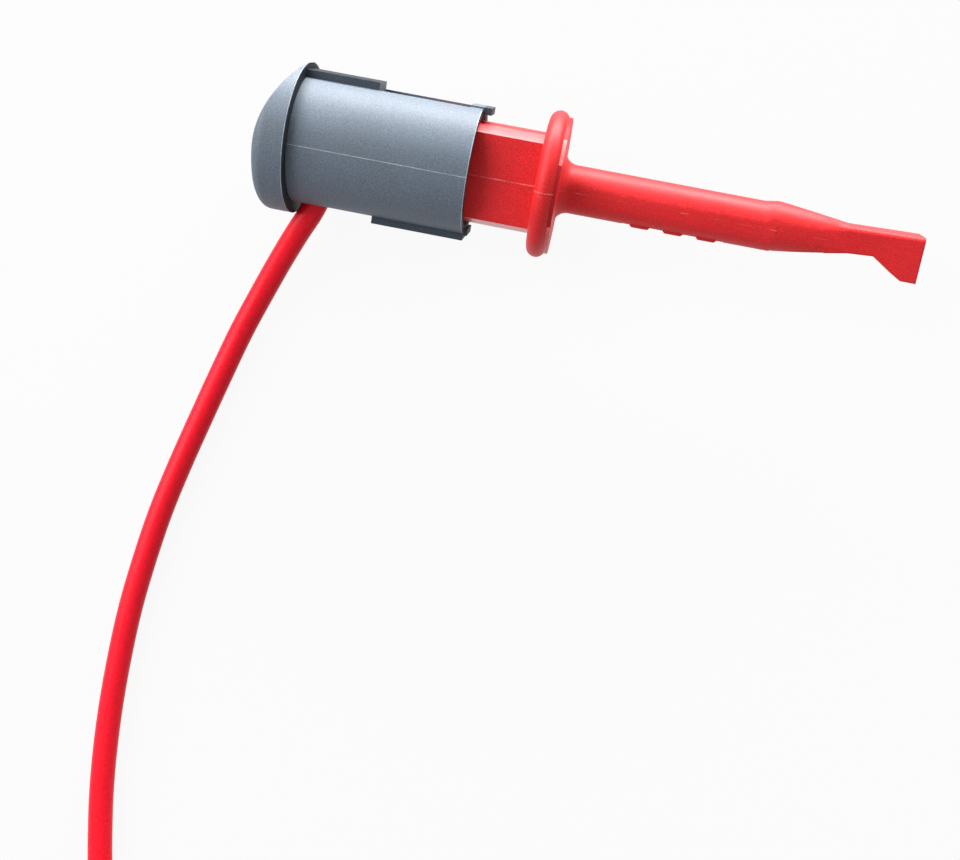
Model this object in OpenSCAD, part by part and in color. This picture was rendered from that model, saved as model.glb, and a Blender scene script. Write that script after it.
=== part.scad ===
// Spring-hook test probe with a plug lead.
// A moulded barrel carries a plunger: a sleeve with a thumb cap. Pressing the
// cap pushes a gold-plated hook out of the barrel's duckbill tip, and a spring
// brings it back. The lead leaves the sleeve's window and ends in a 4 mm plug.
// The probe lies on its two rims, along +X from cap to tip.

/* [Thumb cap] */
// Radius of the thumb cap's rim
rim_r = 6.5; // [6.3:0.1:7.5]
// Thickness of the cap at its deepest
cap_t = 2.9; // [2.4:0.1:3.6]
// Radius of the domed thumb face
dome_r = 13.8; // [12:0.2:18]
// Height of the dome's deepest line below the axis
dome_drop = 2; // [1:0.1:2.6]
// Rounding of the cap's rear edge
cap_round = 1.1; // [0.4:0.1:1.3]
// Length of the spigot that seats in the sleeve
spigot_l = 0.6; // [0.4:0.1:0.8]
// Wall of the hollow spigot
spigot_wall = 0.9; // [0.6:0.1:1.2]

/* [Sleeve] */
// Outer radius of the sleeve
sleeve_r = 5.5; // [5.45:0.05:5.7]
// Wall of the sleeve
sleeve_wall = 0.65; // [0.55:0.05:0.7]
// Length of the sleeve from the rim
sleeve_l = 15.4; // [14.8:0.1:15.8]
// Width of the two windows, and of the rails in line with them
window_w = 2.9; // [2.7:0.1:3.4]
// Distance of the rails' flat faces from the axis
rail_h = 5.95; // [5.8:0.05:6.1]
// Length of the upper rail, from the rim
upper_rail_l = 6.4; // [6:0.1:6.8]
// Length of the lower rail, from the open end
lower_rail_l = 8.2; // [7.8:0.1:8.5]
// Width of the band that closes the upper window
band_l = 1.1; // [0.9:0.1:1.4]
// Reach of the upper tongue past the sleeve's end
tongue_l = 0.75; // [0.6:0.05:1.1]
// Reach of the lower tongue past the sleeve's end
low_tongue_l = 0.35; // [0.2:0.05:0.6]
// Thickness of the tongues
tongue_t = 0.6; // [0.4:0.05:0.7]
// Distance from the rim to the web inside
web_x = 4.3; // [4.1:0.1:4.6]
// Thickness of the web
web_t = 1; // [0.8:0.1:1.2]

/* [Barrel] */
// Width of the barrel's body
body_w = 8.4; // [8:0.1:8.5]
// Height of the barrel's body
body_h = 6; // [5.8:0.1:6.1]
// Width of the body's long chamfers
chamfer_w = 0.6; // [0.5:0.05:1.2]
// Height of the body's long chamfers
chamfer_h = 1.5; // [1.2:0.1:1.8]
// Radius of the finger flange
flange_r = 6.3; // [5.8:0.1:6.5]
// Thickness of the finger flange's rounded rim
flange_t = 1.7; // [1.4:0.1:2.2]
// Thickness of the thin plate in front of the rim
plate_t = 0.2; // [0.15:0.05:0.5]
// Step from the rim down to the plate
plate_step = 0.45; // [0.3:0.05:0.8]
// Length of the snap lug on the barrel
lug_l = 1.5; // [1.2:0.1:1.9]
// Depth of the snap lug's top below the sleeve's outside
lug_drop = 0.4; // [0.2:0.05:0.45]
// Radius of the spring's bore
spring_bore_r = 2.1; // [2:0.05:2.2]
// Depth of the spring's bore
spring_bore_l = 9.4; // [9:0.1:9.8]

/* [Nose] */
// Radius of the nose at the finger flange
nose_r = 2.08; // [1.96:0.02:2.2]
// Radius of the nose where the bill begins
nose_end_r = 2.06; // [1.9:0.02:2.2]
// Fillet between flange and nose
fillet_r = 1.1; // [0.8:0.1:1.6]
// Distance from the rim to the bill
bill_x = 41.6; // [41:0.1:42.4]
// Height of the low step where the bill begins
bill_step = 0.18; // [0.1:0.02:0.3]
// Distance from the rim to the tip's end face
tip_x = 54.1; // [53.6:0.1:55]
// Thickness of the bill at the end face
bill_t = 3; // [2.6:0.1:3.3]
// Upper edge of the bill above the axis
bill_top = 1.6; // [1.5:0.02:1.9]
// Upper edge of the neck behind the bill above the axis
neck_top = 1.4; // [1.3:0.02:1.6]
// Drop of the bill's lip below the axis
bill_drop = 2.28; // [2.2:0.02:2.6]
// Drop of the waist behind the lip
waist_drop = 0.66; // [0.6:0.02:0.9]
// Rounding of the bill's long edges
bill_round = 0.4; // [0.2:0.05:0.6]
// Number of grip ribs under the nose
rib_n = 3; // [2:1:4]
// Distance from the rim to the first grip rib
rib_x = 29.4; // [28.6:0.1:30.2]
// Distance from rib to rib
rib_pitch = 2.9; // [2.4:0.1:3]
// Length of a grip rib at its foot
rib_l = 1.9; // [1.6:0.1:2.2]
// Width of a grip rib
rib_w = 1.6; // [1.3:0.1:2]
// Height of a grip rib over the nose
rib_h = 0.16; // [0.1:0.01:0.3]
// Depth of the grooves between the ribs
groove_t = 0.12; // [0.08:0.01:0.2]

/* [Hook and spring] */
// Radius of the hook's wire
wire_r = 0.26; // [0.22:0.01:0.3]
// Height of the hook's wire above the axis
wire_y = 0.4; // [0.3:0.02:0.5]
// Radius of the hook's bend
hook_r = 0.78; // [0.7:0.02:0.84]
// Angle of the hook's bend
hook_turn = 135; // [120:1:140]
// Straight length past the hook's bend
hook_leg = 0.95; // [0.7:0.05:1]
// Travel of the plunger
press_travel = 4.8; // [4:0.1:4.8]
// Mean radius of the return spring
coil_r = 1.62; // [1.5:0.02:1.7]
// Radius of the spring's wire
spring_wire_r = 0.2; // [0.15:0.01:0.22]
// Turns of the return spring
spring_turns = 11; // [9:1:12]

/* [Lead] */
// Radius of the lead
lead_r = 1.1; // [1:0.05:1.25]
// Radius of the lead's conductor
core_r = 0.5; // [0.35:0.05:0.6]
// Outer radius of the crimp sleeve
crimp_r = 0.9; // [0.8:0.05:1]
// Length of the crimp sleeve
crimp_l = 2.6; // [2.2:0.1:2.8]
// Distance from the rim to the lead's centre
lead_x = 2; // [1.95:0.05:2.4]
// Gap between neighbouring turns of the stowed coil
turn_gap = 0.5; // [0.45:0.05:0.8]
// Turns of the stowed coil, a quarter past a whole number
coil_turns = 6.25; // [4.25:1:7.25]
// Radius of the coil's outermost turn
coil_out_r = 17; // [15:0.5:18]
// Length of lead between the coil and the plug
plug_run = 12; // [11:0.5:16]

/* [Plug] */
// Radius of the plug's pin
pin_r = 2; // [1.9:0.05:2.1]
// Length of the pin outside the handle
pin_l = 19; // [16:0.5:22]
// Bulge of the contact leaves over the pin
leaf_bulge = 0.2; // [0.1:0.05:0.4]
// Number of contact leaves
leaf_n = 4; // [3:1:6]
// Radius of the handle's collar
handle_r = 4.4; // [4:0.1:5]
// Radius of the handle's grip
grip_r = 3.7; // [3.4:0.1:3.8]
// Length of the handle
handle_l = 24; // [22:0.5:28]
// Length of the tapered strain relief
relief_l = 8; // [7:0.5:10]

/* [Placement] */
// Roll of the probe about its axis, which turns the lead's window down
roll = 20; // [0:1:25]

/* [Hidden] */
$fn = 64;

fit_gap = 0.03;       // between pieces that seat in each other
run_gap = 0.3;        // between pieces that slide past each other
soft_gap = 0.12;      // round the lead where it passes a wall
overlap = 0.05;       // by which joined shapes enter each other
far = 20;             // longer than anything that is cut

// The table's frame has its origin below the middle of the probe's length, on the
// surface. What is drawn in it has x from the cap's rim, and y and z from the
// probe's axis. The probe's own frame is rolled about that axis.
mid_x = (tip_x - cap_t) / 2;
module table_frame() translate([-mid_x, 0, rim_r]) children();
module probe_frame() table_frame() rotate([roll, 0, 0]) children();
function rolled(p) = [p[0], p[1] * cos(roll) - p[2] * sin(roll), p[1] * sin(roll) + p[2] * cos(roll)];

// Shapes that run along the probe
module along_x(x) translate([x, 0, 0]) rotate([90, 0, 90]) children();
module rod_x(x, r, l) along_x(x) cylinder(r = r, h = l);
module block(x, y, l, h, w) translate([x, y, -w / 2]) cube([l, h, w]);

/* ---- Thumb cap ---- */
sleeve_bore_r = sleeve_r - sleeve_wall;
spigot_r = sleeve_bore_r - fit_gap;

module cap_disc() {
    rotate([0, -90, 0]) rotate_extrude() {
        square([rim_r - cap_round, cap_t]);
        square([rim_r, cap_t - cap_round]);
        translate([rim_r - cap_round, cap_t - cap_round]) intersection() {
            circle(cap_round);
            square(cap_round);
        }
    }
}

module spigot() {
    difference() {
        rod_x(-overlap, spigot_r, spigot_l + overlap);
        rod_x(-overlap, spigot_r - spigot_wall, spigot_l + 2 * overlap);
    }
}

module thumb_cap() color([0.40, 0.44, 0.49]) probe_frame() {
    intersection() {
        cap_disc();
        translate([dome_r - cap_t, -dome_drop, -far / 2])
            cylinder(r = dome_r, h = far, $fn = 128);
    }
    spigot();
}

/* ---- Sleeve ---- */
window_top_l = sleeve_l - band_l - upper_rail_l;
window_low_l = sleeve_l - lower_rail_l - spigot_l;
bore_chord = sqrt(pow(sleeve_bore_r, 2) - pow(window_w / 2, 2));

module rail(x, l, side) {
    block(x, (side > 0) ? 0 : -rail_h, l, rail_h, window_w);
}

// In line with the rails, past the sleeve's open end
module tongue(l, side) {
    inner = sleeve_bore_r + overlap;
    y = (side > 0) ? inner : -inner - tongue_t;
    block(sleeve_l - band_l, y, band_l + l, tongue_t, window_w - run_gap);
}

module window(x, l, side) {
    y = (side > 0) ? bore_chord - overlap : -far / 2;
    block(x, y, l, far / 2 - bore_chord + overlap, window_w);
}

module plunger_sleeve() color([0.42, 0.47, 0.53]) probe_frame() {
    difference() {
        union() {
            rod_x(0, sleeve_r, sleeve_l);
            rail(0, upper_rail_l, 1);
            rail(sleeve_l - lower_rail_l, lower_rail_l, -1);
            tongue(tongue_l, 1);
            tongue(low_tongue_l, -1);
        }
        rod_x(-overlap, sleeve_bore_r, web_x + overlap);
        rod_x(web_x + web_t, sleeve_bore_r, sleeve_l);
        window(upper_rail_l, window_top_l, 1);
        window(spigot_l, window_low_l, -1);
        translate([0, wire_y, 0]) rod_x(web_x - overlap, wire_r + fit_gap, web_t + 2 * overlap);
    }
}

/* ---- Barrel ---- */
stop_gap = 0.1;       // between the upper tongue and the flange, cap pressed in
rear_gap = 0.9;       // between the web and the barrel, cap pressed in
flange_x = sleeve_l + tongue_l + press_travel + stop_gap;
barrel_x = web_x + web_t + press_travel + rear_gap;
body_l = flange_x - barrel_x;
wire_gap = 0.14;
wire_bore_r = wire_r + wire_gap;
lug_y = sleeve_r - lug_drop;
lug_w = window_w - 2 * run_gap;
lug_x = sleeve_l - band_l - soft_gap - lug_l;

module body_outline() {
    w = body_w / 2;
    h = body_h / 2;
    polygon([[w, h - chamfer_h], [w - chamfer_w, h], [chamfer_w - w, h], [-w, h - chamfer_h],
             [-w, chamfer_h - h], [chamfer_w - w, -h], [w - chamfer_w, -h], [w, chamfer_h - h]]);
}

module snap_lug() {
    base_y = body_w / 2 - overlap;
    ramp = lug_l / 2;
    translate([lug_x, 0, -lug_w / 2]) linear_extrude(lug_w)
        polygon([[0, base_y], [0, lug_y - ramp], [ramp, lug_y], [lug_l, lug_y], [lug_l, base_y]]);
}

module finger_flange() {
    edge = flange_t / 2;
    along_x(flange_x) rotate_extrude($fn = 96) {
        square([flange_r - edge, flange_t]);
        translate([flange_r - edge, edge]) intersection() {
            circle(edge);
            translate([0, -edge]) square([edge, flange_t]);
        }
    }
    rod_x(flange_x + edge, flange_r - plate_step, edge + plate_t);
}

nose_x = flange_x + flange_t + plate_t;
nose_l = bill_x - nose_x;

module nose() {
    along_x(nose_x - overlap) rotate_extrude() {
        difference() {
            square([nose_r + fillet_r, fillet_r + overlap]);
            translate([nose_r + fillet_r, fillet_r + overlap]) circle(fillet_r);
        }
    }
    along_x(nose_x) cylinder(r1 = nose_r, r2 = nose_end_r, h = nose_l);
}

// Low ribs under the nose, for the finger, with sloping ends and grooves between
rib_slope = 0.35;
groove_end_l = 0.6;   // of the grooves before the first rib and after the last

module rib_outline() {
    foot = nose_r - groove_t - 2 * overlap;
    top = nose_r + rib_h + overlap;
    polygon([[0, -nose_r / 2], [0, -foot], [rib_slope, -top], [rib_l - rib_slope, -top],
             [rib_l, -foot], [rib_l, -nose_r / 2]]);
}

module rib() {
    intersection() {
        translate([0, 0, -rib_w / 2]) linear_extrude(rib_w) rib_outline();
        rod_x(-overlap, nose_r + rib_h, rib_l + 2 * overlap);
    }
}

module ribs() {
    for (i = [0:rib_n - 1])
        translate([rib_x + i * rib_pitch, 0, 0]) rib();
}

module grooves() {
    l = (rib_n - 1) * rib_pitch + rib_l + 2 * groove_end_l;
    block(rib_x - groove_end_l, -far - nose_r + groove_t, l, far, far);
}

// Side outline of the bill: a low step, a slope down to the neck and a straight
// edge above, drawn in to a waist below, and flared to the lip behind which the
// hook shuts
step_l = 0.6;         // slope up to the low step
neck_l = 6.2;         // from the tip back to the neck
end_slant = 0.2;      // by which the end face's upper edge lies back
waist_l = 4;          // from the tip back to the waist
lip_l = 1.3;          // length of the lip's flat underside
lip_slope = 0.15;
throat = 0.25;        // by which the bill's underside rises first
root_r = nose_end_r - overlap;
module bill_outline() {
    polygon([[bill_x - step_l, root_r], [bill_x, nose_end_r + bill_step],
             [tip_x - neck_l, neck_top], [tip_x - end_slant, bill_top], [tip_x, -bill_drop],
             [tip_x - lip_l, -bill_drop], [tip_x - lip_l - 2 * lip_slope, -bill_drop + lip_slope],
             [tip_x - waist_l, -waist_drop], [tip_x - neck_l, -waist_drop - lip_slope],
             [bill_x + 2 * step_l, -root_r + throat], [bill_x, -root_r], [bill_x - step_l, -root_r]]);
}

module bill_plan() {
    polygon([[bill_x - step_l, root_r], [bill_x + 2 * step_l, root_r], [tip_x - neck_l, bill_t / 2],
             [tip_x, bill_t / 2], [tip_x, -bill_t / 2], [tip_x - neck_l, -bill_t / 2],
             [bill_x + 2 * step_l, -root_r], [bill_x - step_l, -root_r]]);
}

// Rounds the bill from the nose to the neck, by a cone that ends inside the bar
bill_lift = 0.12;     // of the cone over the probe's axis
bar_back = 2;         // from the neck back to where the bar begins, inside the cone
module bill_cone() {
    edge_mid = [neck_top - bill_lift - bill_round, bill_t / 2 - bill_round];
    neck_r = norm(edge_mid) + bill_round - 2 * overlap;
    translate([0, bill_lift, 0]) along_x(bill_x - step_l)
        cylinder(r1 = nose_end_r + bill_step / 2, r2 = neck_r, h = tip_x - neck_l - bill_x + step_l);
}

// Rounds the bill's two upper edges from the neck to the tip
module bar_section() {
    translate([-far, -bill_t / 2]) square([far - bill_round, bill_t]);
    translate([-far, bill_round - bill_t / 2]) square([far, bill_t - 2 * bill_round]);
    for (side = [-1, 1])
        translate([-bill_round, side * (bill_t / 2 - bill_round)]) circle(bill_round);
}

module bill_bar() {
    slope = atan((bill_top - neck_top) / (neck_l - end_slant));
    translate([tip_x - neck_l, neck_top, 0]) rotate([0, 0, slope])
        along_x(-bar_back) linear_extrude(bar_back + neck_l + 1) bar_section();
}

module bill() {
    intersection() {
        translate([0, 0, -far / 2]) linear_extrude(far) bill_outline();
        rotate([90, 0, 0]) translate([0, 0, -far / 2]) linear_extrude(far) bill_plan();
        union() {
            bill_cone();
            bill_bar();
        }
    }
}

// The hook draws back into this slot, open at the end face
hook_back = 0.15;     // by which the hook at rest lies behind the end face
hook_rest_x = tip_x - hook_back;
bend_x = hook_rest_x - wire_r - hook_r;
bend_y = wire_y - hook_r;
leg_angle = 90 - hook_turn;
leg_end_y = bend_y + hook_r * sin(leg_angle) - hook_leg * cos(leg_angle);
leg_end_x = bend_x + hook_r * cos(leg_angle) + hook_leg * sin(leg_angle);
slot_gap = 0.12;
slot_w = 2 * (wire_r + slot_gap);
slot_low = leg_end_y - wire_r;
slot_high = wire_y + wire_r + slot_gap;
slot_back_x = leg_end_x - wire_r - slot_gap;

module hook_slot() {
    block(slot_back_x, slot_low, tip_x - slot_back_x + overlap, slot_high - slot_low, slot_w);
}

module wire_bore() {
    translate([0, wire_y, 0]) rod_x(barrel_x - overlap, wire_bore_r, tip_x - barrel_x);
    rod_x(barrel_x - overlap, spring_bore_r, spring_bore_l + overlap);
}

module barrel() color([0.82, 0.09, 0.12]) probe_frame() {
    difference() {
        union() {
            along_x(barrel_x) linear_extrude(body_l + overlap) body_outline();
            snap_lug();
            finger_flange();
            difference() {
                nose();
                grooves();
            }
            ribs();
            bill();
        }
        wire_bore();
        hook_slot();
    }
}

/* ---- Hook ---- */
tail_bend_r = 0.6;
tail_bare_l = 0.3;    // from the tail's bend to the crimp
crimp_top = wire_y - tail_bend_r - tail_bare_l;
wire_in_crimp = 1;
crimp_stop = crimp_top - wire_in_crimp - overlap;

module bend(r, angle) rotate_extrude(angle = angle) translate([r, 0]) circle(wire_r);

module hook_wire() color([0.90, 0.70, 0.22]) probe_frame() {
    straight_x = lead_x + tail_bend_r;
    tail_l = wire_y - tail_bend_r - (crimp_top - wire_in_crimp);
    translate([0, wire_y, 0]) rod_x(straight_x, wire_r, bend_x - straight_x);
    translate([bend_x, bend_y, 0]) rotate([0, 0, leg_angle]) {
        bend(hook_r, hook_turn);
        translate([hook_r, 0, 0]) rotate([90, 0, 0]) cylinder(r = wire_r, h = hook_leg);
    }
    translate([straight_x, wire_y - tail_bend_r, 0]) rotate([0, 0, 90]) bend(tail_bend_r, 90);
    translate([lead_x, wire_y - tail_bend_r, 0]) rotate([90, 0, 0]) cylinder(r = wire_r, h = tail_l);
}

module crimp_sleeve() color([0.80, 0.68, 0.38]) probe_frame() translate([lead_x, crimp_top, 0])
    rotate([90, 0, 0]) difference() {
        cylinder(r = crimp_r, h = crimp_l);
        translate([0, 0, -overlap]) cylinder(r = wire_r + fit_gap, h = crimp_l);
        translate([0, 0, crimp_top - crimp_stop]) cylinder(r = core_r + fit_gap, h = crimp_l);
    }

module hook_conductor() color([0.80, 0.45, 0.25]) probe_frame()
    translate([lead_x, crimp_stop - fit_gap, 0]) rotate([90, 0, 0])
        cylinder(r = core_r, h = crimp_l - (crimp_top - crimp_stop) - fit_gap);

/* ---- Tubes swept along a list of points ---- */
function unit(v) = v / norm(v);
function tangent(path, i) =
    unit(path[min(i + 1, len(path) - 1)] - path[max(i - 1, 0)]);
function across(t) =
    let (up = [0, 0, 1], side = cross(up, t))
    norm(side) > 0.01 ? unit(side) : unit(cross([0, 1, 0], t));
function ring(path, i, r, sides) =
    let (t = tangent(path, i), a = across(t), b = cross(t, a))
    [for (k = [0:sides - 1])
        let (w = 360 * (k + 0.5) / sides)
        path[i] + r * (cos(w) * a + sin(w) * b)];

module tube(path, r, sides) {
    n = len(path);
    last = (n - 1) * sides;
    polyhedron(
        points = [for (i = [0:n - 1]) each ring(path, i, r, sides)],
        faces = concat(
            [for (i = [0:n - 2], k = [0:sides - 1])
                let (a = i * sides + k, b = i * sides + (k + 1) % sides)
                [a, a + sides, b]],
            [for (i = [0:n - 2], k = [0:sides - 1])
                let (a = i * sides + k, b = i * sides + (k + 1) % sides)
                [b, a + sides, b + sides]],
            [for (k = [1:sides - 2]) [0, k, k + 1]],
            [for (k = [1:sides - 2]) [last, last + k + 1, last + k]]));
}

// Least distance between points of a path that are a full turn or more apart
function least_gap(path, skip, r) =
    min([for (i = [0:3:len(path) - 1 - skip], j = [i + skip:len(path) - 1])
        norm(path[i] - path[j])]) - 2 * r;

/* ---- Return spring ---- */
spring_x = web_x + web_t + spring_wire_r;
spring_end_x = barrel_x + spring_bore_l - spring_wire_r - fit_gap;
spring_steps = 8;
function spring_point(i) =
    let (a = 360 * i / spring_steps)
    [spring_x + (spring_end_x - spring_x) * i / (spring_turns * spring_steps),
     coil_r * cos(a), coil_r * sin(a)];
spring_path = [for (i = [0:spring_turns * spring_steps]) spring_point(i)];

module return_spring() color([0.75, 0.76, 0.78]) probe_frame() {
    tube(spring_path, spring_wire_r, 6);
}

/* ---- Lead ---- */
// Points of the lead's centre, in the table's frame: straight out of the sleeve's
// window from the crimp, down to the surface, and along it to the stowed coil
table_z = lead_r - rim_r;
jacket_y = crimp_top - crimp_l;
exit_l = 1.4;
run_points = [
    [1.45, -5.8, -2.1], [0.4, -7.8, -2.85], [-0.85, -10.4, -3.8], [-2.15, -13.5, -4.7],
    [-3.5, -17.3, -5.25], [-4.6, -21.4, table_z], [-5.7, -26, table_z], [-6.8, -30.8, table_z],
    [-7.7, -35.4, table_z], [-8.3, -40, table_z], [-8.7, -44.6, table_z], [-8.8, -49.2, table_z],
    [-8.7, -53.8, table_z], [-8.4, -58.2, table_z], [-7.9, -62.4, table_z], [-7.2, -66.4, table_z],
    [-6.4, -70.4, table_z], [-5.8, -74.4, table_z], [-5.5, -78.4, table_z]];
coil_centre = [11.6, -88];
coil_start = [coil_centre[0] - coil_out_r, coil_centre[1], table_z];
coil_run_in = [0, 2 * lead_r, 0];
lead_path = concat([rolled([lead_x, jacket_y, 0]), rolled([lead_x, jacket_y - exit_l, 0])], run_points,
                   [coil_start + 2.5 * coil_run_in, coil_start + coil_run_in]);

module lead() color([0.80, 0.10, 0.16]) table_frame() {
    tube(lead_path, lead_r, 8);
}

/* ---- Stowed coil ---- */
turn_steps = 24;
turn_pitch = 2 * lead_r + turn_gap;
coil_steps = coil_turns * turn_steps;
half = coil_steps / 2;
climb_steps = turn_steps / 2;
function climb(i) = max(0, min(1, (i - half + climb_steps / 2) / climb_steps));
function coil_point(i) =
    let (a = 180 + 360 * i / turn_steps,
         inward = turn_pitch * (half - abs(i - half)) / turn_steps)
    [coil_centre[0] + (coil_out_r - inward) * cos(a),
     coil_centre[1] + (coil_out_r - inward) * sin(a),
     table_z + turn_pitch * climb(i)];
coil_loops = [for (i = [0:coil_steps]) coil_point(i)];
coil_end = coil_loops[coil_steps];
plug_at = [coil_end[0] + plug_run, coil_end[1], handle_r - rim_r];
coil_path = concat([coil_start + coil_run_in], coil_loops,
                   [coil_end + [plug_run / 4, 0, 0], plug_at - [2 * lead_r, 0, 0], plug_at]);

module lead_coil() color([0.80, 0.10, 0.16]) table_frame() {
    tube(coil_path, lead_r, 6);
}

echo(spring_gap = least_gap(spring_path, 6, spring_wire_r));
echo(coil_gap = least_gap(coil_path, turn_steps - 4, lead_r));
function path_length(path) =
    [for (i = [1:len(path) - 1]) norm(path[i] - path[i - 1])] * [for (i = [1:len(path) - 1]) 1];
echo(lead_length = path_length(lead_path) + path_length(coil_path));

/* ---- Plug ---- */
core_back = 9;
core_r_back = 2.2;
socket_l = 5;
nose_cone_l = 1.5;
leaf_l = 11;
leaf_t = 0.35;
leaf_slit = 0.5;
leaf_band = 1.5;
leaf_seat_r = pin_r - leaf_t;
leaf_x = 3.6;
screw_r = 1.25;
screw_l = 2;
screw_slot_w = 0.4;
screw_slot_t = 0.6;
handle_front = 3;
handle_edge = 0.5;
front_x = relief_l + handle_l;
relief_wall = 0.9;
relief_taper = 0.8;
grip_groove_r = 0.35;
grip_groove_n = 6;
grip_groove_pitch = 2;

module plug_frame() table_frame() translate(plug_at) children();

module handle_profile() {
    polygon([[0, 0], [lead_r + relief_wall, 0], [grip_r - relief_taper, relief_l], [grip_r, relief_l + 1],
             [grip_r, front_x - handle_front - 1], [handle_r, front_x - handle_front],
             [handle_r, front_x - handle_edge], [handle_r - handle_edge, front_x], [0, front_x]]);
}

core_x = front_x - core_back;
screw_back = 2.2;
screw_x = core_x + screw_back;
module plug_handle() color([0.80, 0.09, 0.13]) plug_frame() {
    difference() {
        along_x(0) rotate_extrude() handle_profile();
        for (i = [1:grip_groove_n])
            along_x(relief_l + 1 + i * grip_groove_pitch)
                rotate_extrude() translate([grip_r, 0]) circle(grip_groove_r, $fn = 24);
        rod_x(core_x - fit_gap, core_r_back + fit_gap, core_back + 1);
        rod_x(-overlap, core_r + fit_gap, core_x + 1);
        translate([screw_x, 0, 0]) cylinder(r = screw_r + soft_gap, h = handle_r + 1);
    }
}

module plug_core() color([0.83, 0.84, 0.85]) plug_frame() {
    difference() {
        union() {
            rod_x(core_x, core_r_back, core_back);
            rod_x(front_x, pin_r, leaf_x);
            rod_x(front_x, leaf_seat_r - fit_gap, pin_l - nose_cone_l);
            rod_x(front_x + leaf_x + leaf_l, pin_r, pin_l - leaf_x - leaf_l - nose_cone_l);
            along_x(front_x + pin_l - nose_cone_l) cylinder(r1 = pin_r, r2 = pin_r - 1, h = nose_cone_l);
        }
        rod_x(core_x - overlap, core_r + fit_gap, socket_l + overlap);
        translate([screw_x, 0, 0]) cylinder(r = screw_r + fit_gap, h = core_r_back + 1);
    }
}

// Section of the leaves: a band at each end and a bowed middle
leaf_fit_l = leaf_l - 2 * fit_gap;
leaf_steps = 8;
module leaf_profile() {
    bow = [for (i = [0:leaf_steps])
        [pin_r + leaf_bulge * sin(180 * i / leaf_steps), leaf_fit_l * i / leaf_steps]];
    polygon(concat([[leaf_seat_r, 0]], bow, [[leaf_seat_r, leaf_fit_l]]));
}

module contact_leaves() color([0.86, 0.86, 0.87]) plug_frame() {
    x = front_x + leaf_x + fit_gap;
    difference() {
        along_x(x) rotate_extrude() leaf_profile();
        for (i = [0:leaf_n - 1])
            rotate([360 * i / leaf_n, 0, 0])
                block(x + leaf_band, 0, leaf_fit_l - 2 * leaf_band, pin_r + 1, leaf_slit);
    }
}

module clamp_screw() color([0.72, 0.73, 0.74]) plug_frame() {
    translate([screw_x, 0, core_r + fit_gap]) difference() {
        cylinder(r = screw_r, h = screw_l);
        translate([-screw_r, -screw_slot_w / 2, screw_l - screw_slot_t])
            cube([2 * screw_r, screw_slot_w, screw_slot_t + overlap]);
    }
}

module plug_conductor() color([0.80, 0.45, 0.25]) plug_frame() {
    rod_x(0, core_r, core_x + socket_l - fit_gap);
}

barrel();
plunger_sleeve();
thumb_cap();
hook_wire();
return_spring();
crimp_sleeve();
hook_conductor();
lead();
lead_coil();
plug_handle();
plug_core();
contact_leaves();
clamp_screw();
plug_conductor();
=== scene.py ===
"""Looks of a spring-hook test probe with a plug lead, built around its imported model.

Sizes are in millimetres until MM turns them into Blender's metres. A point is
measured along x from the thumb cap's rim, and in y and z from the probe's axis.
table() takes one whose z is upright, and probe() one in the probe's own frame,
which is rolled about that axis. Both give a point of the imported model's frame.
"""

import math
from collections import namedtuple
from contextlib import contextmanager

import bmesh
import bpy
from mathutils import Matrix, Vector, noise
from mathutils.bvhtree import BVHTree


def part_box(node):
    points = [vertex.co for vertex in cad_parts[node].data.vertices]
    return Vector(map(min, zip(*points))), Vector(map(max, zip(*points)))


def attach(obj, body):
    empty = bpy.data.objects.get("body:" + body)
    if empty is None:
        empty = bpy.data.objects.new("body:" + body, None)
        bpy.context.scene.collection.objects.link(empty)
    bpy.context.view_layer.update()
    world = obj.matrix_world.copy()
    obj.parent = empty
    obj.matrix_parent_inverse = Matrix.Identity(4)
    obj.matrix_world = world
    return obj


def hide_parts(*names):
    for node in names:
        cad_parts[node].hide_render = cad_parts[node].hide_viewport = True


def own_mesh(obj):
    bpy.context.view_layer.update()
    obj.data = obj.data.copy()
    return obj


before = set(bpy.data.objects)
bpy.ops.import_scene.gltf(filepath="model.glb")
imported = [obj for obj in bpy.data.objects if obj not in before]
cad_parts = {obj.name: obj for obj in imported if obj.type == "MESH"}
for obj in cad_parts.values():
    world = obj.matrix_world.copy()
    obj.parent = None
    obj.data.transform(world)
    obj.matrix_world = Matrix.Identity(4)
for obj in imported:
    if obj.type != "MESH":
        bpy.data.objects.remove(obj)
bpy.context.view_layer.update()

MM = 0.001
RIM_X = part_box("plunger_sleeve")[0].x
AXIS_Z = (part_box("barrel")[0].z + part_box("barrel")[1].z) / 2
ROLL = math.radians(20)


def table(x, y, z):
    return Vector((RIM_X + x * MM, y * MM, AXIS_Z + z * MM))


def probe(x, y, z):
    return table(x, y * math.cos(ROLL) - z * math.sin(ROLL), y * math.sin(ROLL) + z * math.cos(ROLL))


# The directions of z and y in the probe's own frame
OUT = (probe(0, 0, 1) - probe(0, 0, 0)).normalized()
ACROSS = OUT.cross(Vector((1, 0, 0)))


def place_of(point):
    """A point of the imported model's frame as x, y and z in the probe's own, in millimetres."""
    place = (point - table(0, 0, 0)) / MM
    return place.x, place.dot(ACROSS), place.dot(OUT)


# ---- Camera ----

CAMERA_AT = table(25.82, -22.06, 96.45)
CAMERA_BACK = Vector((0.0569, 0, 0.9984))
CAMERA_UP = Vector((-0.1979, 0.9802, 0.0113))
LENS = 41.66
NEAREST = 1
FARTHEST = 10000


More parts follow.
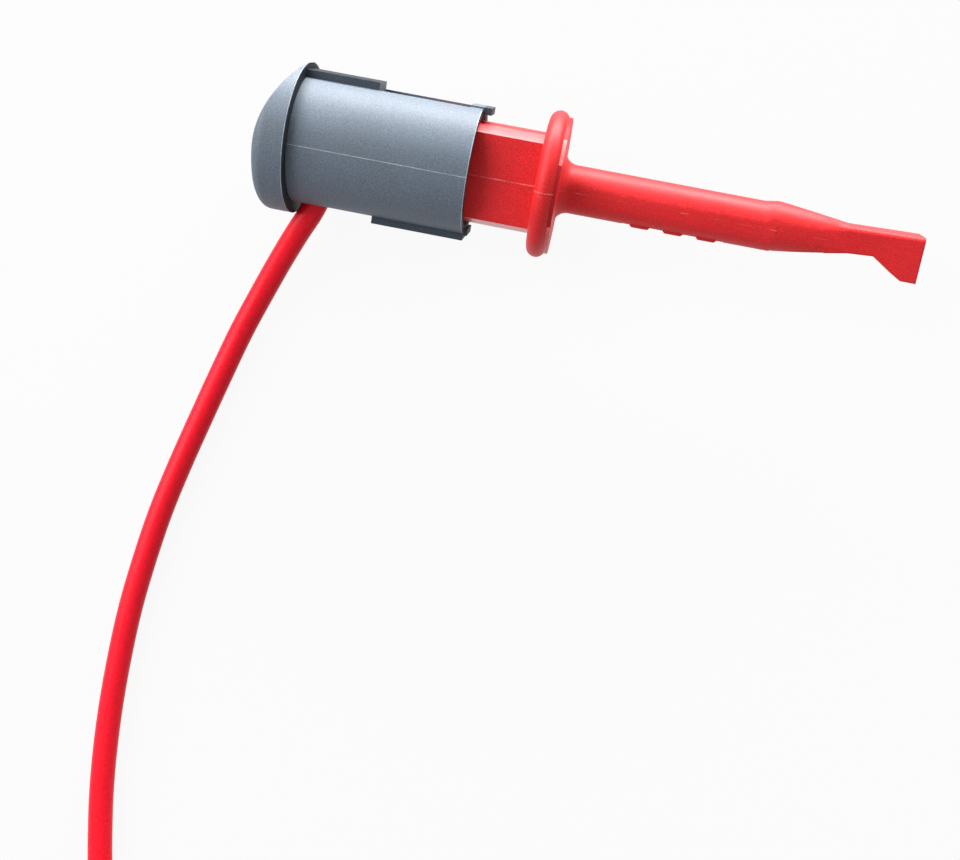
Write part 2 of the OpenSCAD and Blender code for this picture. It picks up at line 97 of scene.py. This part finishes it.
def make_camera():
    """Looks almost straight down, from above the lead's side."""
    data = bpy.data.cameras.new("camera")
    data.lens = LENS
    data.clip_start = NEAREST * MM
    data.clip_end = FARTHEST * MM
    back = CAMERA_BACK.normalized()
    right = CAMERA_UP.cross(back).normalized()
    up = back.cross(right)
    camera = bpy.data.objects.new("camera", data)
    camera.matrix_world = Matrix.Translation(CAMERA_AT) @ Matrix((right, up, back)).transposed().to_4x4()
    bpy.context.scene.collection.objects.link(camera)
    bpy.context.scene.camera = camera


make_camera()


# ---- Meshes ----

SHARP_ANGLE = 35
TUBE_SHARP_ANGLE = 60


def add_object(name, mesh):
    made = bpy.data.objects.new(name, mesh)
    bpy.context.scene.collection.objects.link(made)
    return made


def smooth_shading(mesh, angle=SHARP_ANGLE):
    """Shades the mesh smooth, apart from edges that bend by more than angle degrees."""
    mesh.shade_smooth()
    mesh.set_sharp_from_angle(angle=math.radians(angle))


@contextmanager
def editing(mesh):
    """The mesh opened as a bmesh, which is written back in the end."""
    bm = bmesh.new()
    bm.from_mesh(mesh)
    yield bm
    bm.to_mesh(mesh)
    bm.free()


def join_rings(bm, first, second):
    """Adds the faces between two rings of equally many corners."""
    for k in range(len(first)):
        bm.faces.new((first[k], first[k - 1], second[k - 1], second[k]))


def sweep(name, path, radius, sides):
    """A tube round the points of path. radius is a size in metres or a function of the point's number."""
    radius_at = radius if callable(radius) else lambda i: radius
    turns = [2 * math.pi * k / sides for k in range(sides)]
    last = len(path) - 1
    aside = None
    mesh = bpy.data.meshes.new(name)
    with editing(mesh) as bm:
        rings = []
        for i, point in enumerate(path):
            onward = (path[min(i + 1, last)] - path[max(i - 1, 0)]).normalized()
            aside = onward.orthogonal() if aside is None else aside - onward * aside.dot(onward)
            aside.normalize()
            other = onward.cross(aside)
            rings.append([bm.verts.new(point + radius_at(i) * (math.cos(t) * aside + math.sin(t) * other))
                          for t in turns])
        for first, second in zip(rings, rings[1:]):
            join_rings(bm, first, second)
        bm.faces.new(rings[0])
        bm.faces.new(reversed(rings[-1]))
    smooth_shading(mesh, TUBE_SHARP_ANGLE)
    return add_object(name, mesh)


def smooth_path(points, steps):
    """Points of a Catmull-Rom curve through the given ones, steps of them to each stretch."""
    ends = [2 * points[0] - points[1]] + points + [2 * points[-1] - points[-2]]
    path = []
    for a, b, c, d in zip(ends, ends[1:], ends[2:], ends[3:]):
        for i in range(steps):
            t = i / steps
            path.append(0.5 * (2 * b + (c - a) * t + (2 * a - 5 * b + 4 * c - d) * t ** 2
                               + (3 * b - a - 3 * c + d) * t ** 3))
    return path + [points[-1]]


# ---- Lead ----

LEAD_R = 1.1
LEAD_SIDES = 24
LEAD_STEPS = 4
TABLE_Z = LEAD_R - AXIS_Z / MM
# The lead starts at the crimp and leaves through the sleeve's lower window
INNER_END = probe(2, -3.1, 0)
EXIT = probe(2, -4.5, 0)
LEAD_POINTS = [
    (1.45, -5.8, -2.1), (0.4, -7.8, -2.85), (-0.85, -10.4, -3.8), (-2.15, -13.5, -4.7), (-3.5, -17.3, -5.25),
    (-4.6, -21.4, TABLE_Z), (-5.7, -26, TABLE_Z), (-6.8, -30.8, TABLE_Z), (-7.7, -35.4, TABLE_Z),
    (-8.3, -40, TABLE_Z), (-8.7, -44.6, TABLE_Z), (-8.8, -49.2, TABLE_Z), (-8.7, -53.8, TABLE_Z),
    (-8.4, -58.2, TABLE_Z), (-7.9, -62.4, TABLE_Z), (-7.2, -66.4, TABLE_Z), (-6.4, -70.4, TABLE_Z),
    (-5.8, -74.4, TABLE_Z), (-5.5, -78.4, TABLE_Z), (-5.4, -82.5, TABLE_Z), (-5.4, -85.8, TABLE_Z)]
COIL_CENTRE = (11.6, -88)
COIL_R = 17
COIL_TURNS = 6.25
TURN_PITCH = 2.7
TURN_STEPS = 24
COIL_STEPS = int(COIL_TURNS * TURN_STEPS)
# How far the lead runs straight on from the coil
RUN_OUT = 3
# Where it enters the plug's handle
PLUG_AT = (23.6, -105, -2.1)


def coil_point(i):
    """Spirals in and out again, and climbs a layer in the half turn where the spiral reverses."""
    half = COIL_TURNS * TURN_STEPS / 2
    angle = math.pi + 2 * math.pi * i / TURN_STEPS
    radius = COIL_R - TURN_PITCH * (half - abs(i - half)) / TURN_STEPS
    climb = max(0, min(1, 0.5 + (i - half) / (TURN_STEPS / 2)))
    return (COIL_CENTRE[0] + radius * math.cos(angle), COIL_CENTRE[1] + radius * math.sin(angle),
            TABLE_Z + TURN_PITCH * climb)


def lead_route():
    """The lead's points from inside the sleeve, over the table and round the coil to the plug."""
    loops = [coil_point(i) for i in range(COIL_STEPS + 1)]
    x, y, z = loops[-1]
    run_in = [(x + RUN_OUT, y, z), (PLUG_AT[0] - 2 * LEAD_R, y, PLUG_AT[2]), PLUG_AT]
    return [INNER_END, EXIT] + [table(*place) for place in LEAD_POINTS + loops + run_in]


lead_path = smooth_path(lead_route(), LEAD_STEPS)
lead = sweep("lead_jacket", lead_path, LEAD_R * MM, LEAD_SIDES)

# The tie lies over this one of each turn's steps
TIE_STEP = 15
TIE_WIDTH = 2.6
TIE_THICK = 0.3
# Degrees from one point to the next round a corner of the bundle
TIE_BEND = 15


def tie_section():
    """Points round the bundle of turns at the tie, each as (outward, up) with the direction away from it."""
    turns = [coil_point(i) for i in range(TIE_STEP, COIL_STEPS, TURN_STEPS)]
    radii = [math.dist(turn[:2], COIL_CENTRE) for turn in turns]
    heights = [turn[2] for turn in turns]
    above = LEAD_R + TIE_THICK / 2
    below = LEAD_R - TIE_THICK / 2
    corners = [(max(radii), max(heights), 0, above), (min(radii), max(heights), 90, above),
               (min(radii), min(heights), 180, below), (max(radii), min(heights), 270, below)]
    section = []
    for outward, up, first, radius in corners:
        for angle in range(first, first + 90 + 1, TIE_BEND):
            away = (math.cos(math.radians(angle)), math.sin(math.radians(angle)))
            section.append(((outward + radius * away[0], up + radius * away[1]), away))
    return section


def make_tie():
    """A flat strap round the coil, pressed into the jacket below so that it stays on the table."""
    turn = math.pi + 2 * math.pi * TIE_STEP / TURN_STEPS
    outward = Vector((math.cos(turn), math.sin(turn), 0))
    onward = Vector((-math.sin(turn), math.cos(turn), 0))
    centre = table(*COIL_CENTRE, 0)
    mesh = bpy.data.meshes.new("coil_tie")
    with editing(mesh) as bm:
        rings = []
        for place, away in tie_section():
            middle = centre + (place[0] * outward + Vector((0, 0, place[1]))) * MM
            out = away[0] * outward + Vector((0, 0, away[1]))
            rings.append([bm.verts.new(middle + (i * TIE_WIDTH / 2 * onward + j * TIE_THICK / 2 * out) * MM)
                          for i, j in ((-1, -1), (1, -1), (1, 1), (-1, 1))])
        for first, second in zip(rings, rings[1:] + rings[:1]):
            join_rings(bm, first, second)
        bmesh.ops.recalc_face_normals(bm, faces=bm.faces)
    smooth_shading(mesh)
    return add_object("coil_tie", mesh)


tie = make_tie()


# ---- Materials ----

# The noise runs mostly between these two
NOISE_LOW = 0.3
NOISE_HIGH = 0.7
# How much the patches count in the colour beside the grain
PATCH_SHARE = 0.3
BEVEL_SAMPLES = 6


def linear(red, green, blue):
    """A colour given as 0 to 255 in sRGB, as Blender's linear one."""
    def channel(value):
        share = value / 255
        return share / 12.92 if share <= 0.04045 else ((share + 0.055) / 1.055) ** 2.4
    return (channel(red), channel(green), channel(blue), 1)


def shader_node(tree, kind, inputs=None, **settings):
    """A new shader node. An input given as a socket is linked, and any other is set."""
    made = tree.nodes.new("ShaderNode" + kind)
    for key, value in settings.items():
        setattr(made, key, value)
    for key, value in (inputs or {}).items():
        if isinstance(value, bpy.types.NodeSocket):
            tree.links.new(value, made.inputs[key])
        else:
            made.inputs[key].default_value = value
    return made


def noise_of(tree, size, detail=3):
    """Noise whose patches are about size millimetres wide."""
    place = shader_node(tree, "TexCoord").outputs["Object"]
    return shader_node(tree, "TexNoise", {
        "Vector": place, "Scale": 1 / (size * MM), "Detail": detail}).outputs["Fac"]


def spread(tree, value, low, high, lift=0):
    """Noise, raised by lift, that is drawn out to run from low to high."""
    return shader_node(tree, "MapRange", {
        "Value": value, "From Min": NOISE_LOW + lift, "From Max": NOISE_HIGH + lift,
        "To Min": low, "To Max": high}).outputs["Result"]


def colour_mix(tree, share, first, second):
    made = shader_node(tree, "Mix", data_type="RGBA")
    tree.links.new(share, made.inputs["Factor"])
    made.inputs["A"].default_value = first
    made.inputs["B"].default_value = second
    return made.outputs["Result"]


def finish_of(name, dark, light, roughness, grain=(0.008, 0.1), patch=9, rounding=0, **constants):
    """A material whose colour runs between two near ones, with rough and smooth patches and a fine grain.

    roughness gives its least and its most. grain is how deep and how wide the grain is, patch how wide
    the patches are and rounding how far the light softens an edge, all in millimetres. constants are
    other inputs of the shader, with _ for a space.
    """
    depth, width = grain
    material = bpy.data.materials.new(name)
    material.use_nodes = True
    tree = material.node_tree
    body = tree.nodes["Principled BSDF"]
    fine = noise_of(tree, width)
    patches = noise_of(tree, patch, detail=2)
    both = shader_node(tree, "Math", {0: patches, 1: PATCH_SHARE, 2: fine}, operation="MULTIPLY_ADD")
    share = spread(tree, both.outputs[0], 0, 1, lift=PATCH_SHARE / 2)
    tree.links.new(colour_mix(tree, share, linear(*dark), linear(*light)), body.inputs["Base Color"])
    tree.links.new(spread(tree, patches, *roughness), body.inputs["Roughness"])
    bump = shader_node(tree, "Bump", {"Height": fine, "Strength": 1, "Distance": depth * MM})
    if rounding:
        soft = shader_node(tree, "Bevel", {"Radius": rounding * MM}, samples=BEVEL_SAMPLES)
        tree.links.new(soft.outputs["Normal"], bump.inputs["Normal"])
    tree.links.new(bump.outputs["Normal"], body.inputs["Normal"])
    for key, value in constants.items():
        body.inputs[key.replace("_", " ")].default_value = value
    return material


red_plastic = finish_of("red_plastic", (192, 18, 24), (236, 44, 48), (0.45, 0.55), rounding=0.25,
                        Specular_IOR_Level=0.3)
gloss_red = finish_of("gloss_red", (192, 18, 24), (236, 44, 48), (0.45, 0.55), rounding=0.12,
                      Specular_IOR_Level=1, Coat_Weight=1, Coat_Roughness=0.35)
# Painted shade: a darker red that stands in for the shade on the rim of the flange's front plate
shade_red = finish_of("shade_red", (154, 16, 20), (184, 24, 30), (0.45, 0.55), Specular_IOR_Level=0.2)
# Painted highlight: a pale red that stands in for the light caught by the plate's rim and by the red flash
# lines
highlight_red = finish_of("highlight_red", (206, 56, 58), (236, 128, 124), (0.34, 0.46), grain=(0.006, 0.16),
                     patch=2)
grey_plastic = finish_of("grey_plastic", (56, 68, 80), (94, 109, 125), (0.55, 0.65), rounding=0.12,
                         Specular_IOR_Level=0.8)
# Painted shade: a darker grey that stands in for the shade on the sleeve's rails and tongues
shaded_rail_grey = finish_of("shaded_rail_grey", (38, 46, 55), (64, 75, 87), (0.55, 0.65), rounding=0.05,
                      Specular_IOR_Level=0.3)
# Painted shade: a near-black grey that stands in for the shade on the cap rim's front face, the rails' flat
# outer sides and the sleeve's open end
shade_grey = finish_of("shade_grey", (20, 25, 30), (34, 40, 47), (0.55, 0.65), Specular_IOR_Level=0.2)
# Painted highlight: a pale grey that stands in for the light caught by the grey flash lines and by the edges
# of the sleeve's mouth and the cap's rim
highlight_grey = finish_of("highlight_grey", (124, 132, 144), (176, 183, 192), (0.36, 0.48), grain=(0.006, 0.16),
                      patch=2)
jacket = finish_of("jacket", (234, 18, 38), (248, 27, 48), (0.3, 0.4), grain=(0.002, 0.3),
                   Specular_IOR_Level=0.15)
gold = finish_of("gold", (236, 176, 62), (248, 200, 92), (0.16, 0.28), grain=(0.003, 0.1), patch=2,
                 Metallic=1)
steel = finish_of("steel", (178, 180, 184), (204, 206, 208), (0.22, 0.34), grain=(0.004, 0.1), patch=2,
                  Metallic=1)
brass = finish_of("brass", (196, 160, 92), (216, 182, 110), (0.26, 0.38), grain=(0.004, 0.1), patch=2,
                  Metallic=1)
copper = finish_of("copper", (198, 116, 72), (220, 140, 92), (0.28, 0.4), grain=(0.006, 0.08), patch=2,
                   Metallic=1)
nickel = finish_of("nickel", (166, 165, 162), (190, 188, 184), (0.16, 0.26), grain=(0.002, 0.1), patch=3,
                   Metallic=1)


def paint(piece, material):
    piece.data.materials.clear()
    piece.data.materials.append(material)


# ---- Moulded and turned pieces ----

# Corners nearer than WELD are joined, and so are faces that bend by less than FLAT_ANGLE degrees
WELD = 0.002
FLAT_ANGLE = 1
EDGE_SEGMENTS = 3
# A face looks to the front where the x part of its normal is above this, and to the back below its negative
FRONT = 0.9


def dress(name, node, material, body, edge):
    """Stands for a CAD node: its own form with every sharp edge rounded by edge millimetres."""
    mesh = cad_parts[node].data.copy()
    mesh.name = name
    for extra in ("custom_normal", "sharp_edge", "sharp_face"):
        if extra in mesh.attributes:
            mesh.attributes.remove(mesh.attributes[extra])
    with editing(mesh) as bm:
        bmesh.ops.remove_doubles(bm, verts=bm.verts, dist=WELD * MM)
        bmesh.ops.dissolve_limit(bm, angle_limit=math.radians(FLAT_ANGLE), verts=bm.verts, edges=bm.edges)
    smooth_shading(mesh)
    piece = add_object(name, mesh)
    rounding = piece.modifiers.new("rounding", "BEVEL")
    rounding.width = edge * MM
    rounding.segments = EDGE_SEGMENTS
    rounding.limit_method = "ANGLE"
    rounding.angle_limit = math.radians(SHARP_ANGLE)
    rounding.harden_normals = True
    paint(piece, material)
    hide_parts(node)
    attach(piece, body)
    return piece


barrel = dress("barrel_moulding", "barrel", red_plastic, "barrel", edge=0.12)
sleeve = dress("sleeve_moulding", "plunger_sleeve", grey_plastic, "plunger", edge=0.08)
cap = dress("cap_moulding", "thumb_cap", grey_plastic, "plunger", edge=0.1)
dress("hook_and_wire", "hook_wire", gold, "plunger", edge=0.05)
dress("crimp", "crimp_sleeve", brass, "plunger", edge=0.05)
dress("strands_at_hook", "hook_conductor", copper, "plunger", edge=0.05)
plug_handle = dress("handle_moulding", "plug_handle", red_plastic, "plunger", edge=0.12)
plug_core = dress("plug_pin", "plug_core", nickel, "plunger", edge=0.08)
leaves = dress("plug_leaves", "contact_leaves", nickel, "plunger", edge=0.04)
screw = dress("screw", "clamp_screw", steel, "plunger", edge=0.06)
plug_strands = dress("strands_at_plug", "plug_conductor", copper, "plunger", edge=0.05)


# ---- Bill's low step ----

STEP_X = 41
STEP_NEAR = 0.1
# The step's foot is a ring of corners at the nose's radius between these two
FOOT_FROM = 40.95
FOOT_TO = 41.15
NOSE_END_R = 2.06
NOSE_NEAR = 0.02
# The bill is round there, about a line that lies this far from the axis along y
BILL_R = 2.15
BILL_LIFT = 0.12
# How far back the foot goes for each millimetre of the step's height
STEP_SLANT = 3


def ease_step(piece):
    """Draws the foot of the bill's low step back, so that it rises gently from the nose."""
    with editing(piece.data) as bm:
        bmesh.ops.triangulate(bm, faces=[
            face for face in bm.faces
            if face.normal.x < -FRONT and abs(place_of(face.calc_center_median())[0] - STEP_X) < STEP_NEAR])
        for corner in bm.verts:
            x, y, z = place_of(corner.co)
            height = BILL_R - math.hypot(y - BILL_LIFT, z)
            on_nose = abs(math.hypot(y, z) - NOSE_END_R) < NOSE_NEAR
            if FOOT_FROM < x < FOOT_TO and on_nose and height > 0:
                corner.co.x -= STEP_SLANT * height * MM
    smooth_shading(piece.data)


# ---- Faces painted with shade and highlights, and glossier chamfers ----

# A face counts as lying in a plane when its middle is this near to it
FACE_NEAR = 0.01
CHAMFER_X = (8, 21)
CHAMFER_Y = (3.65, 4.15)
CHAMFER_R = 4.3
CHAMFER_TILT = 0.1
PLATE_X = (22.76, 22.94)
PLATE_R = 5
PLATE_TILT = 0.5
# Where the plate's rim gets its painted highlight: below the first y, and between the other two
HIGHLIGHT_BELOW_Y = -2.8
HIGHLIGHT_PATCH_Y = (2.4, 4.4)
MOUTH_X = 15.4
# Only the tongues reach past this
TONGUE_X = 15.45
# Only the rails reach further out than RAIL_Y, and only their flat outer sides further than RAIL_TOP_Y
RAIL_Y = 5.52
RAIL_TOP_Y = 5.9

Spot = namedtuple("Spot", "x y radius facing")


def paint_faces(piece, material, chosen):
    """Gives a second look to the faces that chosen picks.

    chosen is asked with a face's Spot: its x and y and its distance from the axis, all in millimetres,
    and the x part of its normal.
    """
    piece.data.materials.append(material)
    for face in piece.data.polygons:
        x, y, z = place_of(face.center)
        if chosen(Spot(x, y, math.hypot(y, z), face.normal.x)):
            face.material_index = len(piece.data.materials) - 1


def split_at(piece, x):
    """Cuts the faces that cross x in two, so that each side can have a look of its own."""
    with editing(piece.data) as bm:
        bmesh.ops.bisect_plane(bm, geom=bm.verts[:] + bm.edges[:] + bm.faces[:], plane_co=table(x, 0, 0),
                               plane_no=(1, 0, 0))
    smooth_shading(piece.data)


def within(value, reach):
    return reach[0] < value < reach[1]


def on_chamfer(spot):
    """Whether a face is one of the four long chamfers of the barrel's body."""
    return (within(spot.x, CHAMFER_X) and within(abs(spot.y), CHAMFER_Y) and spot.radius > CHAMFER_R
            and abs(spot.facing) < CHAMFER_TILT)


def on_plate_rim(spot):
    """Whether a face is on the rim of the thin plate at the flange's front."""
    return within(spot.x, PLATE_X) and spot.radius > PLATE_R and abs(spot.facing) < PLATE_TILT


def on_highlight_rim(spot):
    """Whether a face is on that rim where a highlight is painted on, which is below and in a patch above."""
    return on_plate_rim(spot) and (spot.y < HIGHLIGHT_BELOW_Y or within(spot.y, HIGHLIGHT_PATCH_Y))


def on_cap_rim(spot):
    """Whether a face lies in the front plane of the thumb cap's rim."""
    return abs(spot.x) < FACE_NEAR and spot.facing > FRONT


def on_mouth(spot):
    """Whether a face is on the sleeve's open end."""
    return abs(spot.x - MOUTH_X) < FACE_NEAR and spot.facing > FRONT


def on_rail(spot):
    """Whether a face is on one of the sleeve's rails or tongues."""
    return spot.x > TONGUE_X or abs(spot.y) > RAIL_Y


def on_rail_top(spot):
    """Whether a face is on the flat outer side of a rail."""
    return abs(spot.y) > RAIL_TOP_Y


ease_step(barrel)
paint_faces(barrel, gloss_red, on_chamfer)
# The plate's rim is painted with shade, and with highlights below and in a patch above
paint_faces(barrel, shade_red, on_plate_rim)
paint_faces(barrel, highlight_red, on_highlight_rim)
# Painted shade on the front face of the cap's rim
paint_faces(cap, shade_grey, on_cap_rim)
split_at(sleeve, TONGUE_X)
# Painted shade on the rails and tongues
paint_faces(sleeve, shaded_rail_grey, on_rail)
# Painted shade, darker still, on the rails' flat outer sides and on the sleeve's open end
paint_faces(sleeve, shade_grey, on_rail_top)
paint_faces(sleeve, shade_grey, on_mouth)


# ---- Return spring ----

SPRING_R = 1.62
SPRING_WIRE_R = 0.2
SPRING_WIRE_SIDES = 12
SPRING_TURNS = 11
SPRING_STEPS = 28


def make_spring(low, high):
    """A coil of round wire that fills the stretch from low to high, two places along x in metres."""
    start = low + SPRING_WIRE_R * MM
    pitch = (high - low - 2 * SPRING_WIRE_R * MM) / SPRING_TURNS
    path = []
    for i in range(SPRING_TURNS * SPRING_STEPS + 1):
        turn = 2 * math.pi * i / SPRING_STEPS
        path.append(probe((start - RIM_X + pitch * i / SPRING_STEPS) / MM,
                          SPRING_R * math.cos(turn), SPRING_R * math.sin(turn)))
    return sweep("spring", path, SPRING_WIRE_R * MM, SPRING_WIRE_SIDES)


spring_low, spring_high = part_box("return_spring")
spring = make_spring(spring_low.x, spring_high.x)
paint(spring, steel)
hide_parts("return_spring")
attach(spring, "plunger")
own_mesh(spring)


# ---- Lead's and tie's finish ----

paint(lead, jacket)
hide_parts("lead", "lead_coil")
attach(lead, "plunger")
paint(tie, grey_plastic)
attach(tie, "plunger")


# ---- Parting lines, and painted highlights along edges ----

RAY_START = 20
RAY_STEP = 0.1
RAY_TURN = 2
FLASH_SIDES = 8
# Shares of the flash's width: what is steady, what comes and goes along it and what a burr adds
FLASH_STEADY = 0.8
FLASH_WANDER = 0.4
FLASH_BURR = 0.9
WANDER_SIZE = 1.3
BURR_REACH = 0.25


def surface_of(piece):
    """The piece's shown faces, to cast rays at."""
    graph = bpy.context.evaluated_depsgraph_get()
    mesh = piece.evaluated_get(graph).to_mesh()
    points = [piece.matrix_world @ corner.co for corner in mesh.vertices]
    faces = [list(face.vertices) for face in mesh.polygons]
    piece.evaluated_get(graph).to_mesh_clear()
    return BVHTree.FromPolygons(points, faces)


def flash(name, piece, rays, material, body, width, sunk, burrs=()):
    """A fine raised line in a pale material, which is a painted highlight: the flash that a mould leaves
    where its parts meet, or a ring along an edge.

    Each of the rays runs from outside to the piece and gives one point of the line. It has a start, a
    direction and its place along the line. The line is width millimetres thick and lies deeper by the
    share sunk of it, so that little of it shows, and burrs lists the places where a thicker bit was left.
    """
    surface = surface_of(piece)
    path, places = [], []
    for start, inward, place in rays:
        point = surface.ray_cast(start, inward)[0]
        if point:
            path.append(point + sunk * width * inward * MM)
            places.append(place)

    def width_at(i):
        wander = FLASH_WANDER * noise.noise(path[i] / (WANDER_SIZE * MM))
        burr = sum(math.exp(-((places[i] - at) / BURR_REACH) ** 2) for at in burrs)
        return width * (FLASH_STEADY + wander + FLASH_BURR * min(1, burr)) * MM

    line = sweep(name, path, width_at, FLASH_SIDES)
    paint(line, material)
    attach(line, body)


def rays_along(first, last, side):
    """Rays to the line where a mould's halves meet, on the side of the axis given by side."""
    places = [first + i * RAY_STEP for i in range(round((last - first) / RAY_STEP) + 1)]
    return [(probe(x, 0, RAY_START * side), -side * OUT, x) for x in places]


def rays_round(x, first, last):
    """Rays to a piece from all round at x, between two angles in degrees from the probe's upper side."""
    rays = []
    for angle in range(first, last, RAY_TURN):
        turn = math.radians(angle)
        outward = (probe(x, math.sin(turn), math.cos(turn)) - probe(x, 0, 0)).normalized()
        rays.append((probe(x, 0, 0) + RAY_START * outward * MM, -outward, angle))
    return rays


SLEEVE_LINE = (0.1, 15.3)
BODY_LINE = (11.2, 21)
FLANGE_LINE = (21.1, 22.7)
NOSE_LINE = (23, 46)
MOUTH_LINE_X = 15.35
MOUTH_HALF_ANGLE = 72
RIM_LINE_X = -0.06
RIM_HALF_ANGLE = 88
BODY_BURRS = (13.1, 17.6, 18.2, 20.1, 20.6, 20.9)
NOSE_BURRS = (24.6, 33.7, 41.4)
# The parting lines are real flash, but their pale colour is painted highlight. The rings at the sleeve's
# mouth and the cap's rim are painted highlights along those edges.
for side, word, middle in ((1, "upper", 0), (-1, "lower", 180)):
    sleeve_line = rays_along(*SLEEVE_LINE, side)
    mouth = rays_round(MOUTH_LINE_X, middle - MOUTH_HALF_ANGLE, middle + MOUTH_HALF_ANGLE)
    rim = rays_round(RIM_LINE_X, middle - RIM_HALF_ANGLE, middle + RIM_HALF_ANGLE)
    body_line = rays_along(*BODY_LINE, side)
    flange_line = rays_along(*FLANGE_LINE, side)
    nose_line = rays_along(*NOSE_LINE, side)
    flash(f"sleeve_flash_{word}", sleeve, sleeve_line, highlight_grey, "plunger",
          width=0.06, sunk=0.45)
    flash(f"mouth_highlight_{word}", sleeve, mouth, highlight_grey, "plunger",
          width=0.05, sunk=0.4)
    flash(f"rim_highlight_{word}", cap, rim, highlight_grey, "plunger",
          width=0.04, sunk=0.5)
    flash(f"body_flash_{word}", barrel, body_line, highlight_red, "barrel",
          width=0.05, sunk=0.5, burrs=BODY_BURRS)
    flash(f"flange_flash_{word}", barrel, flange_line, highlight_red, "barrel",
          width=0.06, sunk=0.4)
    flash(f"nose_flash_{word}", barrel, nose_line, highlight_red, "barrel",
          width=0.025, sunk=0.8, burrs=NOSE_BURRS)


# ---- Floor and light ----

FLOOR_REACH = 4000
FLOOR_DROP = 0.02
FLOOR_COLOUR = (0.45, 0.45, 0.45, 1)
# How much of the floor's look is plain white. The rest takes the object's shadow.
FLOOR_WHITE = 0.93
WORLD_LIGHT = 0.4
WHITE = (1, 1, 1, 1)


def shown(tree):
    """1 for what the camera sees itself, in a gloss or through glass, and 0 for what only gives light."""
    path = shader_node(tree, "LightPath")
    seen = path.outputs["Is Camera Ray"]
    for kind in ("Is Glossy Ray", "Is Transmission Ray"):
        seen = shader_node(tree, "Math", {0: seen, 1: path.outputs[kind]}, operation="MAXIMUM").outputs[0]
    return seen


def make_floor():
    """A grey floor that is seen as almost white, and keeps the object's shadow."""
    reach = FLOOR_REACH * MM
    mesh = bpy.data.meshes.new("floor")
    mesh.from_pydata([(-reach, -reach, 0), (reach, -reach, 0), (reach, reach, 0), (-reach, reach, 0)], [],
                     [(0, 1, 2, 3)])
    floor = add_object("floor", mesh)
    floor.location.z = -FLOOR_DROP * MM
    material = bpy.data.materials.new("pale_floor")
    material.use_nodes = True
    tree = material.node_tree
    diffuse = shader_node(tree, "BsdfDiffuse", {"Color": FLOOR_COLOUR})
    glow = shader_node(tree, "Emission", {"Color": WHITE, "Strength": 1})
    share = shader_node(tree, "Math", {0: shown(tree), 1: FLOOR_WHITE}, operation="MULTIPLY")
    mix = shader_node(tree, "MixShader", {0: share.outputs[0], 1: diffuse.outputs[0], 2: glow.outputs[0]})
    tree.links.new(mix.outputs[0], tree.nodes["Material Output"].inputs["Surface"])
    paint(floor, material)


def make_world():
    """White behind everything, and an even light on it."""
    world = bpy.data.worlds.new("world")
    world.use_nodes = True
    tree = world.node_tree
    background = tree.nodes["Background"]
    background.inputs["Color"].default_value = WHITE
    strength = shader_node(tree, "MapRange", {"Value": shown(tree), "To Min": WORLD_LIGHT, "To Max": 1})
    tree.links.new(strength.outputs["Result"], background.inputs["Strength"])
    bpy.context.scene.world = world


def make_lamp(name, at, width, height, power):
    """A rectangular lamp that points at the origin."""
    data = bpy.data.lights.new(name, "AREA")
    data.shape = "RECTANGLE"
    data.size = width * MM
    data.size_y = height * MM
    data.energy = power
    lamp = bpy.data.objects.new(name, data)
    lamp.location = Vector(at) * MM
    lamp.rotation_euler = (-lamp.location).to_track_quat("-Z", "Y").to_euler()
    bpy.context.scene.collection.objects.link(lamp)


make_floor()
make_world()
make_lamp("low", at=(-20, 420, 60), width=600, height=140, power=7.5)
make_lamp("soft_box", at=(-385, 110, 355), width=500, height=500, power=3.5)
bpy.context.scene.view_settings.view_transform = "Standard"
